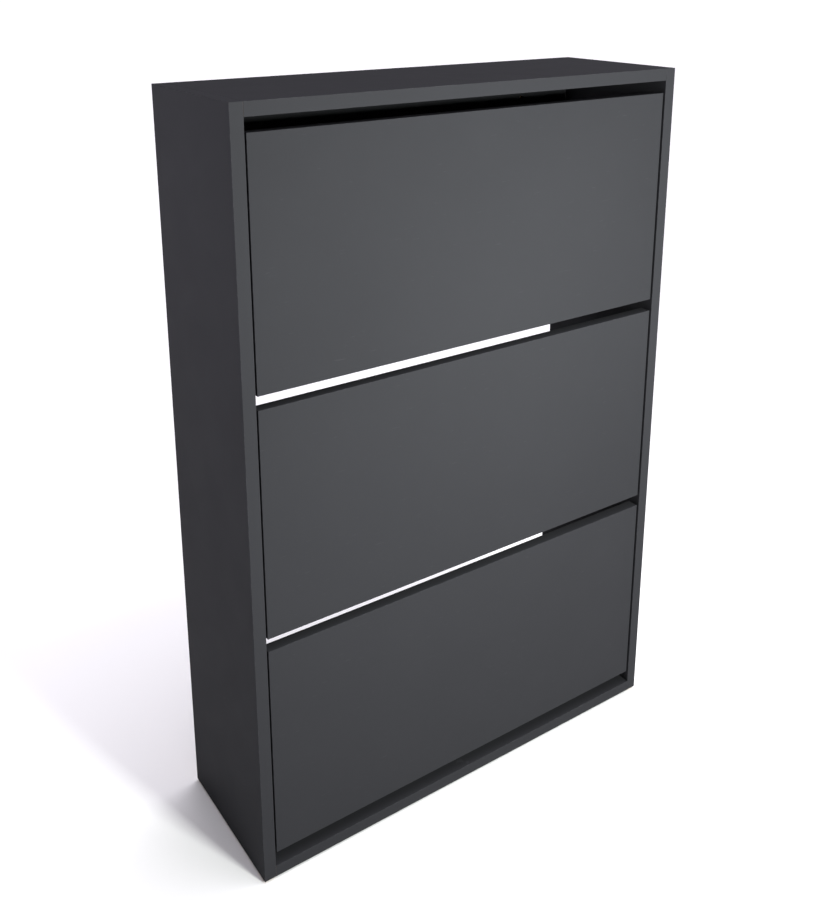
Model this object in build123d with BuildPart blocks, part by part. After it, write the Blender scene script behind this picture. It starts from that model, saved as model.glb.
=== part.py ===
from build123d import *
import math
import os

# Tilt-out shoe cabinet with three flaps in an open-backed carcass of laminated chipboard.
# Millimetres. X runs along the width, Y from the front to the back, Z up; the floor is Z = 0
# and the origin is the middle of the footprint.
#
# Every flap carries a shoe basket: a floor, a divider and a rear wall whose ends sit in the pockets
# of two moulded end plates. The end plates turn on pins that stand on the side panels, and a
# sleeved stop pin in a curved slot ends the tilt both ways. A flap's own sketches use
# u, measured back from its front face, and v, measured up from its bottom edge.

# ---- overall sizes --------------------------------------------------------------------------
WIDTH = 730.0
DEPTH = 236.0
BODY_HEIGHT = 1090.0  # side panels, without the glides
BOARD = 18.0  # thickness of the carcass boards and the flaps
EDGE_ROUND = 0.5  # rounding of the edge banding

# ---- glides under the side panels -----------------------------------------------------------
GLIDE_HEIGHT = 3.0
GLIDE_R = 8.0
GLIDE_BEVEL = 0.8
GLIDE_INSET = 30.0  # centre of a glide from the front or rear edge
NAIL_R = 1.0
NAIL_LENGTH = 12.0  # in the side panel
NAIL_HEAD_R = 2.0
NAIL_HEAD = 0.8
NAIL_SINK = 0.8  # head's face above the floor

# ---- gaps round the flaps -------------------------------------------------------------------
GAP_TOP = 18.5
GAP_BETWEEN = 19.0
GAP_BOTTOM = 21.0
GAP_SIDE = 3.0
FLAP_RECESS = 1.5  # flap faces behind the front edges of the carcass

# ---- rear rails -----------------------------------------------------------------------------
RAIL_HEIGHT = 80.0
WALL_HOLE_R = 3.0
WALL_HOLE_SPACING = 500.0

# ---- pivots and stops -----------------------------------------------------------------------
PIVOT_BEHIND = 8.0  # pivot axis behind the flap's back face
PIVOT_UP = 12.0  # pivot axis above the flap's bottom edge
PIVOT_PIN_R = 4.0
PIVOT_CLEARANCE = 0.08
COLLAR_R = 6.0
BRACKET_BASE = 2.0
BRACKET_R = 10.0
BRACKET_SCREW_AT = (18.0, 36.0)  # screws behind the pivot axis
TILT_MAX = 50.0  # degrees
STOP_RADIUS = 70.0  # stop pin from the pivot axis
STOP_ANGLE = 85.0  # direction of the stop pin from the pivot, from level, in degrees
STOP_PIN_R = 2.5
STOP_PIN_DEPTH = 10.0
SLEEVE_R = 4.0
SLOT_CLEARANCE = 0.3

# ---- end plates of the baskets --------------------------------------------------------------
PLATE_STANDOFF = 5.0  # side panel to the plate's outer face
PLATE = 3.5
PLATE_REAR_GAP = 10.0  # plate's rear edge in front of the carcass's rear edge
PLATE_MARGIN = 8.0  # plate beyond the basket boards
PLATE_CORNER_R = 10.0
PLATE_FOOT = 3.0  # plate's lowest edge above the flap's bottom edge
RIM = 2.5  # width of the stiffening rim, which is as high as the pivot boss
FLANGE = 3.0
FLANGE_WIDTH = 15.5  # beyond the plate's inner face
FLANGE_SCREW_AT = (62.0, 150.0, 244.0)  # screws above the flap's bottom edge
FLANGE_ABOVE_DIVIDER = 32.0
BOSS_R = 8.0
BOSS_HEIGHT = 3.5
POCKET_WALL = 1.8
POCKET_DEPTH = 7.0

# ---- basket boards --------------------------------------------------------------------------
FLOOR = 8.0
FLOOR_SLOPE = 9.0  # degrees, rising to the rear
FLOOR_UP = 28.0  # floor's middle line above the flap's bottom edge, at its front end
WALL = 4.0  # divider and rear wall
DIVIDER_HEIGHT = 180.0
REAR_WALL_HEIGHT = 80.0
BOARD_CLEARANCE = 0.15  # board faces in a pocket
END_CLEARANCE = 0.5  # board ends and standing edges

# ---- fasteners ------------------------------------------------------------------------------
FIT = 0.05  # hole radius beyond a fastener's radius
DOWEL_R = 4.0
DOWEL_IN_SIDE = 12.0
DOWEL_IN_BOARD = 18.0
DOWEL_INSET = 72.0  # dowels of the top and bottom panels, from the front and rear edges
CAM_R = 7.5
CAM_REACH = 34.0  # board end to the cam's middle
CAM_INSET = 40.0  # cams of the top and bottom panels, from the front and rear edges
CAM_MOUTH_R = 4.0  # bolt passage in the cam and in the board's end
RAIL_FIXING_OFFSET = 18.0  # cam above a rail's middle line, and dowel below it
BOLT_THREAD_R = 2.5
BOLT_THREAD = 11.0
BOLT_SHANK_R = 3.0
BOLT_HEAD_R = 3.5
CAM_DEPTH = BOARD / 2 + BOLT_HEAD_R  # as deep as the bolt head's far side
BOLT_HEAD = 4.0
SCREW_R = 1.75
SCREW_HEAD_R = 3.5
SCREW_HEAD = 2.2
PAN_ROUND = 1.0
SCREW_LENGTH = 13.0  # in the board
DRIVE_LENGTH = 4.2  # cross recess in the screw heads
DRIVE_WIDTH = 0.8
DRIVE_DEPTH = 1.2
SCREW_TAPER = SCREW_HEAD_R - SCREW_R  # height of a sunk head

# ---- places worked out from the sizes -------------------------------------------------------
BASE_Z = GLIDE_HEIGHT
TOP_Z = BASE_Z + BODY_HEIGHT
INNER_X = WIDTH / 2 - BOARD  # inner face of the right side panel
FRONT_Y = -DEPTH / 2
REAR_Y = DEPTH / 2
FLAP_Y = FRONT_Y + FLAP_RECESS
FLAP_NAMES = ("lower", "middle", "upper")
CLEAR_HEIGHT = BODY_HEIGHT - 2 * BOARD
GAPS_HEIGHT = GAP_TOP + GAP_BOTTOM + GAP_BETWEEN * (len(FLAP_NAMES) - 1)
FLAP_HEIGHT = (CLEAR_HEIGHT - GAPS_HEIGHT) / len(FLAP_NAMES)
FLAP_WIDTH = 2 * (INNER_X - GAP_SIDE)
FLAP_Z = {
    name: BASE_Z + BOARD + GAP_BOTTOM + i * (FLAP_HEIGHT + GAP_BETWEEN)
    for i, name in enumerate(FLAP_NAMES)
}
RAIL_TOP_Z = {  # a rail closes the back above every basket
    "lower": FLAP_Z["middle"],
    "middle": FLAP_Z["upper"],
    "upper": TOP_Z - BOARD,
}
RAIL_Y = REAR_Y - BOARD / 2
TOP_PANEL_Z = TOP_Z - BOARD / 2
BOTTOM_PANEL_Z = BASE_Z + BOARD / 2

PIVOT = (BOARD + PIVOT_BEHIND, PIVOT_UP)  # u, v
STOP = (
    PIVOT[0] + STOP_RADIUS * math.cos(math.radians(STOP_ANGLE)),
    PIVOT[1] + STOP_RADIUS * math.sin(math.radians(STOP_ANGLE)),
)
PLATE_REAR = DEPTH - FLAP_RECESS - PLATE_REAR_GAP
SLOPE = math.tan(math.radians(FLOOR_SLOPE))
FLOOR_TIP = FLOOR / 2 * math.sin(math.radians(FLOOR_SLOPE))  # lean of the sloping board's square end
FLOOR_FRONT = BOARD + FLANGE + END_CLEARANCE + FLOOR_TIP
FLOOR_REAR = PLATE_REAR - PLATE_MARGIN
DIVIDER_U = (BOARD + FLOOR_REAR) / 2
REAR_WALL_U = FLOOR_REAR - WALL / 2


def floor_middle(u):
    """Height v of the floor board's middle line at u."""
    return FLOOR_UP + (u - FLOOR_FRONT) * SLOPE


def wall_foot(u):
    """Height v at which a standing board, whose middle is at u, clears the floor board."""
    top_face = FLOOR / 2 / math.cos(math.radians(FLOOR_SLOPE))
    return floor_middle(u + WALL / 2) + top_face + END_CLEARANCE


DIVIDER_TOP = wall_foot(DIVIDER_U) + DIVIDER_HEIGHT
REAR_WALL_TOP = wall_foot(REAR_WALL_U) + REAR_WALL_HEIGHT
FLANGE_TOP = DIVIDER_TOP + FLANGE_ABOVE_DIVIDER

# Points (y, z) on a side panel's inner face where the cross boards are fixed.
LEVEL_BOARDS = (BOTTOM_PANEL_Z, TOP_PANEL_Z)
RAIL_MIDDLES = [RAIL_TOP_Z[name] - RAIL_HEIGHT / 2 for name in FLAP_NAMES]
CAM_YS = (FRONT_Y + CAM_INSET, REAR_Y - CAM_INSET)
DOWEL_YS = (FRONT_Y + DOWEL_INSET, REAR_Y - DOWEL_INSET)
LEVEL_CAMS = [(y, z) for z in LEVEL_BOARDS for y in CAM_YS]
LEVEL_DOWELS = [(y, z) for z in LEVEL_BOARDS for y in DOWEL_YS]
RAIL_CAMS = [(RAIL_Y, z + RAIL_FIXING_OFFSET) for z in RAIL_MIDDLES]
RAIL_DOWELS = [(RAIL_Y, z - RAIL_FIXING_OFFSET) for z in RAIL_MIDDLES]


def save(piece, name):
    """Labels a finished piece and writes its file."""
    piece.part.label = name
    export_step(piece.part, f"parts/{name}.step")


def save_pair(left, name):
    """Writes a left-hand piece and its mirror image on the right."""
    save(left, f"{name}_left")
    with BuildPart() as right:
        mirror(left.part, about=Plane.YZ)
    save(right, f"{name}_right")


def flap_plane(name, inset):
    """Plane of a flap's u and v, that far in from the left side panel's inner face."""
    return Plane(
        origin=(-INNER_X + inset, FLAP_Y, FLAP_Z[name]),
        x_dir=(0, 1, 0),
        z_dir=(1, 0, 0),
    )


def flap_points(u, v):
    """The (y, z) of a flap's point (u, v), for every flap."""
    return [(FLAP_Y + u, FLAP_Z[name] + v) for name in FLAP_NAMES]


BRACKET_SCREWS = [
    point
    for behind in BRACKET_SCREW_AT
    for point in flap_points(PIVOT[0] + behind, PIVOT[1])
]
STOPS = flap_points(*STOP)


# ---- carcass --------------------------------------------------------------------------------
def side_panel():
    """Left side panel, drilled on its inner face and for the glide nails."""
    with BuildPart() as panel:
        with BuildSketch(Plane.YZ.offset(-WIDTH / 2)):
            with Locations((0, BASE_Z + BODY_HEIGHT / 2)):
                Rectangle(DEPTH, BODY_HEIGHT)
        extrude(amount=BOARD)
        fillet(panel.edges(), EDGE_ROUND)
        for points, radius, depth in (
            (LEVEL_CAMS + RAIL_CAMS, BOLT_THREAD_R, BOLT_THREAD),
            (LEVEL_DOWELS + RAIL_DOWELS, DOWEL_R, DOWEL_IN_SIDE),
            (BRACKET_SCREWS, SCREW_R, SCREW_LENGTH),
            (STOPS, STOP_PIN_R, STOP_PIN_DEPTH),
        ):
            with BuildSketch(Plane.YZ.offset(-INNER_X)):
                with Locations(*points):
                    Circle(radius + FIT)
            extrude(amount=-depth - FIT, mode=Mode.SUBTRACT)
        with BuildSketch(Plane.XY.offset(BASE_Z)):
            with Locations(*glide_points()):
                Circle(NAIL_R + FIT)
        extrude(amount=NAIL_LENGTH + FIT, mode=Mode.SUBTRACT)
    return panel


def level_board(middle_z):
    """Top or bottom panel between the sides, with its cams let in from below."""
    with BuildPart() as panel:
        with BuildSketch(Plane.XY.offset(middle_z - BOARD / 2)):
            Rectangle(2 * INNER_X, DEPTH)
        extrude(amount=BOARD)
        fillet(panel.edges(), EDGE_ROUND)
        end_bores([(y, middle_z) for y in CAM_YS], [(y, middle_z) for y in DOWEL_YS])
        with BuildSketch(Plane.XY.offset(middle_z - BOARD / 2)):
            with Locations(*[(x, y) for x in cam_xs() for y in CAM_YS]):
                Circle(CAM_R)
        extrude(amount=CAM_DEPTH + FIT, mode=Mode.SUBTRACT)
    return panel


def rear_rail(name):
    """Upright rail across the open back, with its cams let in from behind."""
    middle = RAIL_TOP_Z[name] - RAIL_HEIGHT / 2
    cam_z = middle + RAIL_FIXING_OFFSET
    with BuildPart() as rail:
        with BuildSketch(Plane.XZ.offset(-REAR_Y)):
            with Locations((0, middle)):
                Rectangle(2 * INNER_X, RAIL_HEIGHT)
        extrude(amount=BOARD)
        fillet(rail.edges(), EDGE_ROUND)
        end_bores([(RAIL_Y, cam_z)], [(RAIL_Y, middle - RAIL_FIXING_OFFSET)])
        with BuildSketch(Plane.XZ.offset(-REAR_Y)):
            with Locations(*[(x, cam_z) for x in cam_xs()]):
                Circle(CAM_R)
        extrude(amount=CAM_DEPTH + FIT, mode=Mode.SUBTRACT)
        if name == "upper":
            with BuildSketch(Plane.XZ.offset(-REAR_Y)):
                with Locations((0, middle)), GridLocations(WALL_HOLE_SPACING, 0, 2, 1):
                    Circle(WALL_HOLE_R)
            extrude(amount=BOARD, mode=Mode.SUBTRACT)
    return rail


def cam_xs():
    """Cam middles along X, left and right."""
    reach = INNER_X - CAM_REACH
    return (-reach, reach)


def end_bores(cams, dowels):
    """Cuts the bolt and dowel bores into both ends of the cross board being built."""
    for points, radius, depth in (
        (cams, CAM_MOUTH_R, CAM_REACH),
        (dowels, DOWEL_R + FIT, DOWEL_IN_BOARD + FIT),
    ):
        for side in (-1, 1):
            with BuildSketch(Plane.YZ.offset(side * INNER_X)) as mouths:
                with Locations(*points):
                    Circle(radius)
            extrude(mouths.sketch, amount=-side * depth, mode=Mode.SUBTRACT)


# ---- fasteners of the carcass ---------------------------------------------------------------
def dowels():
    """Beech dowels of every cross board, both ends."""
    with BuildPart() as pegs:
        with BuildSketch(Plane.YZ.offset(-INNER_X - DOWEL_IN_SIDE)):
            with Locations(*LEVEL_DOWELS, *RAIL_DOWELS):
                Circle(DOWEL_R)
        extrude(amount=DOWEL_IN_SIDE + DOWEL_IN_BOARD)
        chamfer(pegs.edges().filter_by(GeomType.CIRCLE), EDGE_ROUND)
        mirror(about=Plane.YZ)
    return pegs


def cam_bolts():
    """Cam bolts: thread in the side panel, shank in the board's end, head in the cam."""
    head_end = CAM_REACH + BOLT_HEAD / 2
    with BuildPart() as bolts:
        for start, length, radius in (
            (-BOLT_THREAD, BOLT_THREAD, BOLT_THREAD_R),
            (0, head_end - BOLT_HEAD, BOLT_SHANK_R),
            (head_end - BOLT_HEAD, BOLT_HEAD, BOLT_HEAD_R),
        ):
            with BuildSketch(Plane.YZ.offset(-INNER_X + start)):
                with Locations(*LEVEL_CAMS, *RAIL_CAMS):
                    Circle(radius)
            extrude(amount=length)
        mirror(about=Plane.YZ)
    return bolts


def cam_faces():
    """Planes of the left cams' faces, looking into the boards."""
    x = -INNER_X + CAM_REACH
    under = [Plane(origin=(x, y, z - BOARD / 2)) for y, z in LEVEL_CAMS]
    behind = [
        Plane(origin=(x, REAR_Y, z), x_dir=(1, 0, 0), z_dir=(0, -1, 0)) for _, z in RAIL_CAMS
    ]
    return under + behind


def cam_locks():
    """Round cam locks, flush with the underside of the panels and the back of the rails."""
    with BuildPart() as cams:
        with BuildSketch(*cam_faces()):
            Circle(CAM_R - FIT)
        extrude(amount=CAM_DEPTH)
        with BuildSketch(Plane.YZ.offset(-INNER_X + CAM_REACH - CAM_R)):
            with Locations(*LEVEL_CAMS, *RAIL_CAMS):
                Circle(CAM_MOUTH_R)
        extrude(amount=CAM_R + BOLT_HEAD, mode=Mode.SUBTRACT)
        with BuildSketch(*cam_faces()):
            Rectangle(CAM_R, 2 * DRIVE_WIDTH)
            Rectangle(2 * DRIVE_WIDTH, CAM_R)
        extrude(amount=DRIVE_DEPTH, mode=Mode.SUBTRACT)
        mirror(about=Plane.YZ)
    return cams


def glide_points():
    """The (x, y) of the glides under the left side panel."""
    x = -WIDTH / 2 + BOARD / 2
    return [(x, FRONT_Y + GLIDE_INSET), (x, REAR_Y - GLIDE_INSET)]


def glides():
    """Plastic glides under the side panels, hollowed below for the nail heads."""
    with BuildPart() as pads:
        with BuildSketch():
            with Locations(*glide_points()):
                Circle(GLIDE_R)
        extrude(amount=GLIDE_HEIGHT)
        chamfer(pads.edges().group_by(Axis.Z)[0], GLIDE_BEVEL)
        for radius, depth in (
            (NAIL_R + FIT, GLIDE_HEIGHT),
            (NAIL_HEAD_R + FIT, NAIL_SINK + NAIL_HEAD),
        ):
            with BuildSketch():
                with Locations(*glide_points()):
                    Circle(radius)
            extrude(amount=depth, mode=Mode.SUBTRACT)
        mirror(about=Plane.YZ)
    return pads


def glide_nails():
    """Nails that hold the glides, with their heads sunk into the plastic."""
    head_top = NAIL_SINK + NAIL_HEAD
    with BuildPart() as nails:
        for start, length, radius in (
            (NAIL_SINK, NAIL_HEAD, NAIL_HEAD_R),
            (head_top, BASE_Z + NAIL_LENGTH - head_top, NAIL_R),
        ):
            with BuildSketch(Plane.XY.offset(start)):
                with Locations(*glide_points()):
                    Circle(radius)
            extrude(amount=length)
        mirror(about=Plane.YZ)
    return nails


# ---- pivots and stops -----------------------------------------------------------------------
def pivot_bracket(name):
    """Left bracket of a flap: base, collar and pivot pin in one moulding."""
    pin_tip = PLATE_STANDOFF + PLATE + BOSS_HEIGHT + END_CLEARANCE
    run = max(BRACKET_SCREW_AT)
    with BuildPart() as bracket:
        with BuildSketch(flap_plane(name, 0)):
            with Locations((PIVOT[0] + run / 2, PIVOT[1])):
                SlotCenterToCenter(run, 2 * BRACKET_R)
        extrude(amount=BRACKET_BASE)
        for radius, height in (
            (COLLAR_R, PLATE_STANDOFF - END_CLEARANCE),
            (PIVOT_PIN_R, pin_tip),
        ):
            with BuildSketch(flap_plane(name, BRACKET_BASE)):
                with Locations(PIVOT):
                    Circle(radius)
            extrude(amount=height - BRACKET_BASE)
        chamfer(bracket.edges().filter_by(GeomType.CIRCLE).sort_by(Axis.X)[-1], EDGE_ROUND)
        with BuildSketch(flap_plane(name, 0)):
            with Locations(*[(PIVOT[0] + behind, PIVOT[1]) for behind in BRACKET_SCREW_AT]):
                Circle(SCREW_R + FIT)
        extrude(amount=BRACKET_BASE, mode=Mode.SUBTRACT)
        for behind in BRACKET_SCREW_AT:
            at = (PIVOT[0] + behind, PIVOT[1])
            countersink(flap_plane(name, BRACKET_BASE), at, FIT, Mode.SUBTRACT)
    return bracket


def countersink(face, at, clearance, mode):
    """Cone of a sunk screw head below a face, grown by the clearance."""
    with BuildSketch(face) as wide_end:
        with Locations(at):
            Circle(SCREW_HEAD_R + clearance)
    with BuildSketch(face.offset(-SCREW_TAPER)) as narrow_end:
        with Locations(at):
            Circle(SCREW_R + clearance)
    loft([wide_end.sketch, narrow_end.sketch], mode=mode)


def bracket_screws():
    """Countersunk screws of all the pivot brackets, flush with their bases."""
    with BuildPart() as screws:
        for name in FLAP_NAMES:
            face = flap_plane(name, BRACKET_BASE)
            for behind in BRACKET_SCREW_AT:
                at = (PIVOT[0] + behind, PIVOT[1])
                countersink(face, at, 0, Mode.ADD)
                with BuildSketch(face.offset(-SCREW_TAPER)):
                    with Locations(at):
                        Circle(SCREW_R)
                extrude(amount=SCREW_TAPER - BRACKET_BASE - SCREW_LENGTH)
                cross_recess(face, [at])
        mirror(about=Plane.YZ)
    return screws


def cross_recess(face, points):
    """Cuts cross recesses down into screw heads."""
    with BuildSketch(face) as crosses:
        with Locations(*points):
            Rectangle(DRIVE_LENGTH, DRIVE_WIDTH)
            Rectangle(DRIVE_WIDTH, DRIVE_LENGTH)
    extrude(crosses.sketch, amount=-DRIVE_DEPTH, mode=Mode.SUBTRACT)


def stop_pins():
    """Steel stop pins pressed into the side panels."""
    pin_end = PLATE_STANDOFF + PLATE + BOSS_HEIGHT / 2
    with BuildPart() as pins:
        with BuildSketch(Plane.YZ.offset(-INNER_X - STOP_PIN_DEPTH)):
            with Locations(*STOPS):
                Circle(STOP_PIN_R)
        extrude(amount=STOP_PIN_DEPTH + pin_end)
        chamfer(pins.edges().filter_by(GeomType.CIRCLE), EDGE_ROUND)
        mirror(about=Plane.YZ)
    return pins


def stop_sleeves():
    """Rubber sleeves on the stop pins, which run in the slots of the end plates."""
    with BuildPart() as sleeves:
        with BuildSketch(Plane.YZ.offset(-INNER_X)):
            with Locations(*STOPS):
                Circle(SLEEVE_R)
            with Locations(*STOPS):
                Circle(STOP_PIN_R + FIT, mode=Mode.SUBTRACT)
        extrude(amount=PLATE_STANDOFF + PLATE + END_CLEARANCE)
        mirror(about=Plane.YZ)
    return sleeves


# ---- flaps and baskets ----------------------------------------------------------------------
def flange_screw_points(name):
    """The (x, z) of the screws through a flap's left and right flanges."""
    x = INNER_X - PLATE_STANDOFF - PLATE - FLANGE_WIDTH / 2
    return [(side * x, FLAP_Z[name] + v) for side in (-1, 1) for v in FLANGE_SCREW_AT]


def flap(name):
    """Flap, edged all round, with pilot holes for the flange screws."""
    with BuildPart() as board:
        with BuildSketch(Plane.XZ.offset(-FLAP_Y)):
            with Locations((0, FLAP_Z[name] + FLAP_HEIGHT / 2)):
                Rectangle(FLAP_WIDTH, FLAP_HEIGHT)
        extrude(amount=-BOARD)
        fillet(board.edges(), EDGE_ROUND)
        with BuildSketch(Plane.XZ.offset(-FLAP_Y - BOARD)):
            with Locations(*flange_screw_points(name)):
                Circle(SCREW_R + FIT)
        extrude(amount=SCREW_LENGTH + FIT, mode=Mode.SUBTRACT)
    return board


def flap_screws(name):
    """Pan-head screws that hold both end plates to the flap."""
    face = Plane.XZ.offset(-FLAP_Y - BOARD - FLANGE)
    with BuildPart() as screws:
        for radius, length in (
            (SCREW_HEAD_R, -SCREW_HEAD),
            (SCREW_R, FLANGE + SCREW_LENGTH),
        ):
            with BuildSketch(face):
                with Locations(*flange_screw_points(name)):
                    Circle(radius)
            extrude(amount=length)
        fillet(screws.edges().filter_by(GeomType.CIRCLE).group_by(Axis.Y)[-1], PAN_ROUND)
        heads = Plane.XZ.offset(-FLAP_Y - BOARD - FLANGE - SCREW_HEAD)
        cross_recess(-heads, [(-x, z) for x, z in flange_screw_points(name)])
    return screws


# Ends of the basket boards seen along X: middle (u, v), length, thickness and turn.
FLOOR_MIDDLE_U = (FLOOR_FRONT + FLOOR_REAR) / 2
BOARD_ENDS = {
    "basket_floor": (
        (FLOOR_MIDDLE_U, floor_middle(FLOOR_MIDDLE_U)),
        (FLOOR_REAR - FLOOR_FRONT) / math.cos(math.radians(FLOOR_SLOPE)),
        FLOOR,
        FLOOR_SLOPE,
    ),
    "basket_divider": (
        (DIVIDER_U, DIVIDER_TOP - DIVIDER_HEIGHT / 2),
        DIVIDER_HEIGHT,
        WALL,
        90,
    ),
    "basket_rear_wall": (
        (REAR_WALL_U, REAR_WALL_TOP - REAR_WALL_HEIGHT / 2),
        REAR_WALL_HEIGHT,
        WALL,
        90,
    ),
}


def board_sections(along, across):
    """Sections of the three basket boards, grown at their ends and at their faces."""
    for middle, length, thickness, turn in BOARD_ENDS.values():
        with Locations(middle):
            Rectangle(length + 2 * along, thickness + 2 * across, rotation=turn)


def basket_board(name, kind):
    """Floor, divider or rear wall of a basket, between the end plates."""
    middle, length, thickness, turn = BOARD_ENDS[kind]
    inset = PLATE_STANDOFF + PLATE + END_CLEARANCE
    with BuildPart() as board:
        with BuildSketch(flap_plane(name, inset)):
            with Locations(middle):
                Rectangle(length, thickness, rotation=turn)
        extrude(amount=2 * (INNER_X - inset))
        fillet(board.edges().filter_by(Axis.X), EDGE_ROUND)
    return board


def plate_outline(inset):
    """Sketches an end plate's outline, drawn in by an inset."""
    heel_v = floor_middle(PLATE_REAR) - FLOOR / 2 - PLATE_MARGIN
    with BuildSketch(mode=Mode.PRIVATE) as outline:
        with BuildLine():
            Polyline(
                (BOARD, PLATE_FOOT),
                (PIVOT[0] + BOSS_R + RIM, PLATE_FOOT),
                (PLATE_REAR, heel_v),
                (PLATE_REAR, REAR_WALL_TOP + PLATE_MARGIN),
                (DIVIDER_U + PLATE_MARGIN, DIVIDER_TOP + PLATE_MARGIN),
                (BOARD, FLANGE_TOP),
                close=True,
            )
        make_face()
        corners = outline.vertices().group_by(Axis.X)[1:]
        fillet([vertex for group in corners for vertex in group], PLATE_CORNER_R)
        if inset:
            offset(amount=-inset, kind=Kind.INTERSECTION, mode=Mode.REPLACE)
    return outline.sketch


# Way of the stop pin's middle across an end plate, in u and v.
STOP_PATH = CenterArc(PIVOT, STOP_RADIUS, STOP_ANGLE - TILT_MAX, TILT_MAX)


def end_plate(name):
    """Left end plate: flange on the flap, pivot boss, stop slot, rim and board pockets."""
    slot_r = SLEEVE_R + SLOT_CLEARANCE
    outer = flap_plane(name, PLATE_STANDOFF)
    inner = flap_plane(name, PLATE_STANDOFF + PLATE)
    with BuildPart() as plate:
        with BuildSketch(outer):
            add(plate_outline(0))
        extrude(amount=PLATE)
        with BuildSketch(inner):
            add(plate_outline(0))
            add(plate_outline(RIM), mode=Mode.SUBTRACT)
            SlotArc(STOP_PATH, 2 * (slot_r + RIM))
            with Locations(PIVOT):
                Circle(BOSS_R)
        extrude(amount=BOSS_HEIGHT)
        with BuildSketch(inner):
            board_sections(END_CLEARANCE + POCKET_WALL, BOARD_CLEARANCE + POCKET_WALL)
        extrude(amount=POCKET_DEPTH)
        with BuildSketch(inner):
            with Locations((BOARD, PLATE_FOOT)):
                Rectangle(FLANGE, FLANGE_TOP - PLATE_FOOT, align=Align.MIN)
        extrude(amount=FLANGE_WIDTH)
        with BuildSketch(inner):
            board_sections(END_CLEARANCE, BOARD_CLEARANCE)
        extrude(amount=POCKET_DEPTH, mode=Mode.SUBTRACT)
        with BuildSketch(outer):
            SlotArc(STOP_PATH, 2 * slot_r)
            with Locations(PIVOT):
                Circle(PIVOT_PIN_R + PIVOT_CLEARANCE)
        extrude(amount=PLATE + FLANGE_WIDTH, mode=Mode.SUBTRACT)
        with BuildSketch(Plane.XZ.offset(-FLAP_Y - BOARD)):
            with Locations(*flange_screw_points(name)):
                Circle(SCREW_R + FIT)
        extrude(amount=-FLANGE, mode=Mode.SUBTRACT)
    return plate


# ---- the whole cabinet ----------------------------------------------------------------------
os.makedirs("parts", exist_ok=True)
save_pair(side_panel(), "side_panel")
save(level_board(TOP_PANEL_Z), "top_panel")
save(level_board(BOTTOM_PANEL_Z), "bottom_panel")
save(dowels(), "dowels")
save(cam_bolts(), "cam_bolts")
save(cam_locks(), "cam_locks")
save(glides(), "glides")
save(glide_nails(), "glide_nails")
save(bracket_screws(), "bracket_screws")
save(stop_pins(), "stop_pins")
save(stop_sleeves(), "stop_sleeves")
for flap_name in FLAP_NAMES:
    save(rear_rail(flap_name), f"{flap_name}_rear_rail")
    save_pair(pivot_bracket(flap_name), f"{flap_name}_pivot_bracket")
    save(flap(flap_name), f"{flap_name}_flap")
    save(flap_screws(flap_name), f"{flap_name}_flap_screws")
    save_pair(end_plate(flap_name), f"{flap_name}_end_plate")
    for board_kind in BOARD_ENDS:
        save(basket_board(flap_name, board_kind), f"{flap_name}_{board_kind}")
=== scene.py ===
"""Finishes, fittings and studio of a slim shoe cabinet with tilt-out flaps.

Metres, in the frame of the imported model: X along the width, -Y out of the front, Z up from the
floor.
"""

import math
import random

import bmesh
import bpy
from bpy.props import FloatProperty, FloatVectorProperty, IntProperty, PointerProperty
from mathutils import Matrix, Vector


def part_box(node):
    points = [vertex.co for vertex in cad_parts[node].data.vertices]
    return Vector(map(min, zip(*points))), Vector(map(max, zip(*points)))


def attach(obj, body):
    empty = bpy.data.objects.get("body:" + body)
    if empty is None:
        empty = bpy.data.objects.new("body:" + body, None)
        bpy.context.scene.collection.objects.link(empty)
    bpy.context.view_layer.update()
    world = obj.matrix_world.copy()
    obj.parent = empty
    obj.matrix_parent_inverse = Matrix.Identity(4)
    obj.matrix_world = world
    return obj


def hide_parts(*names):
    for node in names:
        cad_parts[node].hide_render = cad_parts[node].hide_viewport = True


bl_info = {
    "name": "Tilt-out Shoe Cabinet",
    "version": (1, 0, 0),
    "blender": (4, 5, 0),
    "location": "View3D > Sidebar > Shoe Cabinet",
    "description": "Finishes, fittings and studio of a slim shoe cabinet with tilt-out flaps",
    "category": "Object",
}

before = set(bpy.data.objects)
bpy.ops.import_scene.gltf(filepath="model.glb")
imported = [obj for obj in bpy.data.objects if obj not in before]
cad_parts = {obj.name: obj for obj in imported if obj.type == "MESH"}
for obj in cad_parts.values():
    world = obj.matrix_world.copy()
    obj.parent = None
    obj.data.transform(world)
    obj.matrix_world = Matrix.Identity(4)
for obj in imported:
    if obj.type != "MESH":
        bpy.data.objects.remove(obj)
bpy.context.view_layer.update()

MM = 0.001
FLAPS = ("lower", "middle", "upper")
ENDS = ("left", "right")
AXES = "XYZ"
CARCASS = "carcass"


def flap_body(flap):
    """Name of the body that tilts with a flap."""
    return f"{flap}_tilt_flap"


# ---------------------------------------------------------------- properties
def tint(name, description, default):
    """Colour property."""
    return FloatVectorProperty(
        name=name, description=description, subtype="COLOR", default=default, min=0.0, max=1.0
    )


def length(name, description, default):
    """Length property, with its default in millimetres."""
    return FloatProperty(
        name=name, description=description, unit="LENGTH", default=default * MM, min=0.0
    )


def share(name, description, default):
    """Property from 0 to 1."""
    return FloatProperty(
        name=name, description=description, subtype="FACTOR", default=default, min=0.0, max=1.0
    )


def place_of(name, description, default):
    """Point property in metres."""
    return FloatVectorProperty(
        name=name, description=description, subtype="TRANSLATION", unit="LENGTH", default=default
    )


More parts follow.
